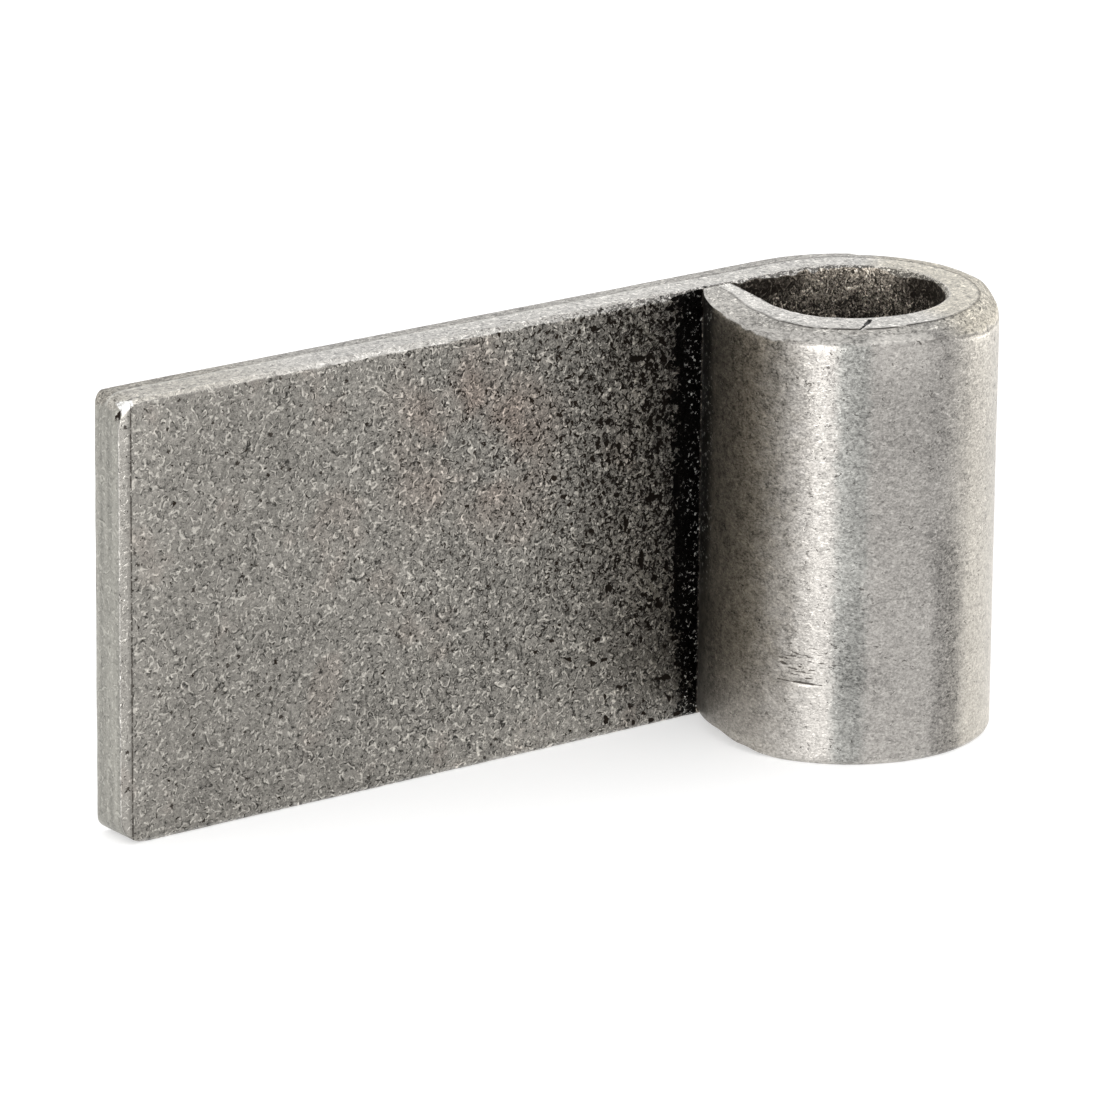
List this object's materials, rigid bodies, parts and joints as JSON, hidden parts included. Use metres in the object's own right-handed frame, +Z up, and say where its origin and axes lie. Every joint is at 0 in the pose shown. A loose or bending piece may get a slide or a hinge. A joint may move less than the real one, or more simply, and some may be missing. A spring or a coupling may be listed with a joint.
{
  "type": "weld-on hinge leaf with rolled eye",
  "caption": "Flat steel hinge leaf whose one end is rolled into a pin eye; the lip closes on the leaf's face along an open seam and the plain flat is welded on.",
  "frame": {"origin": "on the bore's axis, at the lower end of the eye", "axes": "+Z runs up the bore; the flat leaf runs towards -X; its front face, which the eye is rolled towards and closes on, looks to -Y"},
  "size_m": [0.0854, 0.0264, 0.04],
  "materials": {
    "raw_steel": "raw hot-rolled flat bar, tumbled to a matt grey with fine scratches and pits, with black mill scale left in the corner beside the eye and inside the bore"
  },
  "bodies": {
    "root": {"hinge_leaf": "raw_steel"}
  },
  "joints": []
}
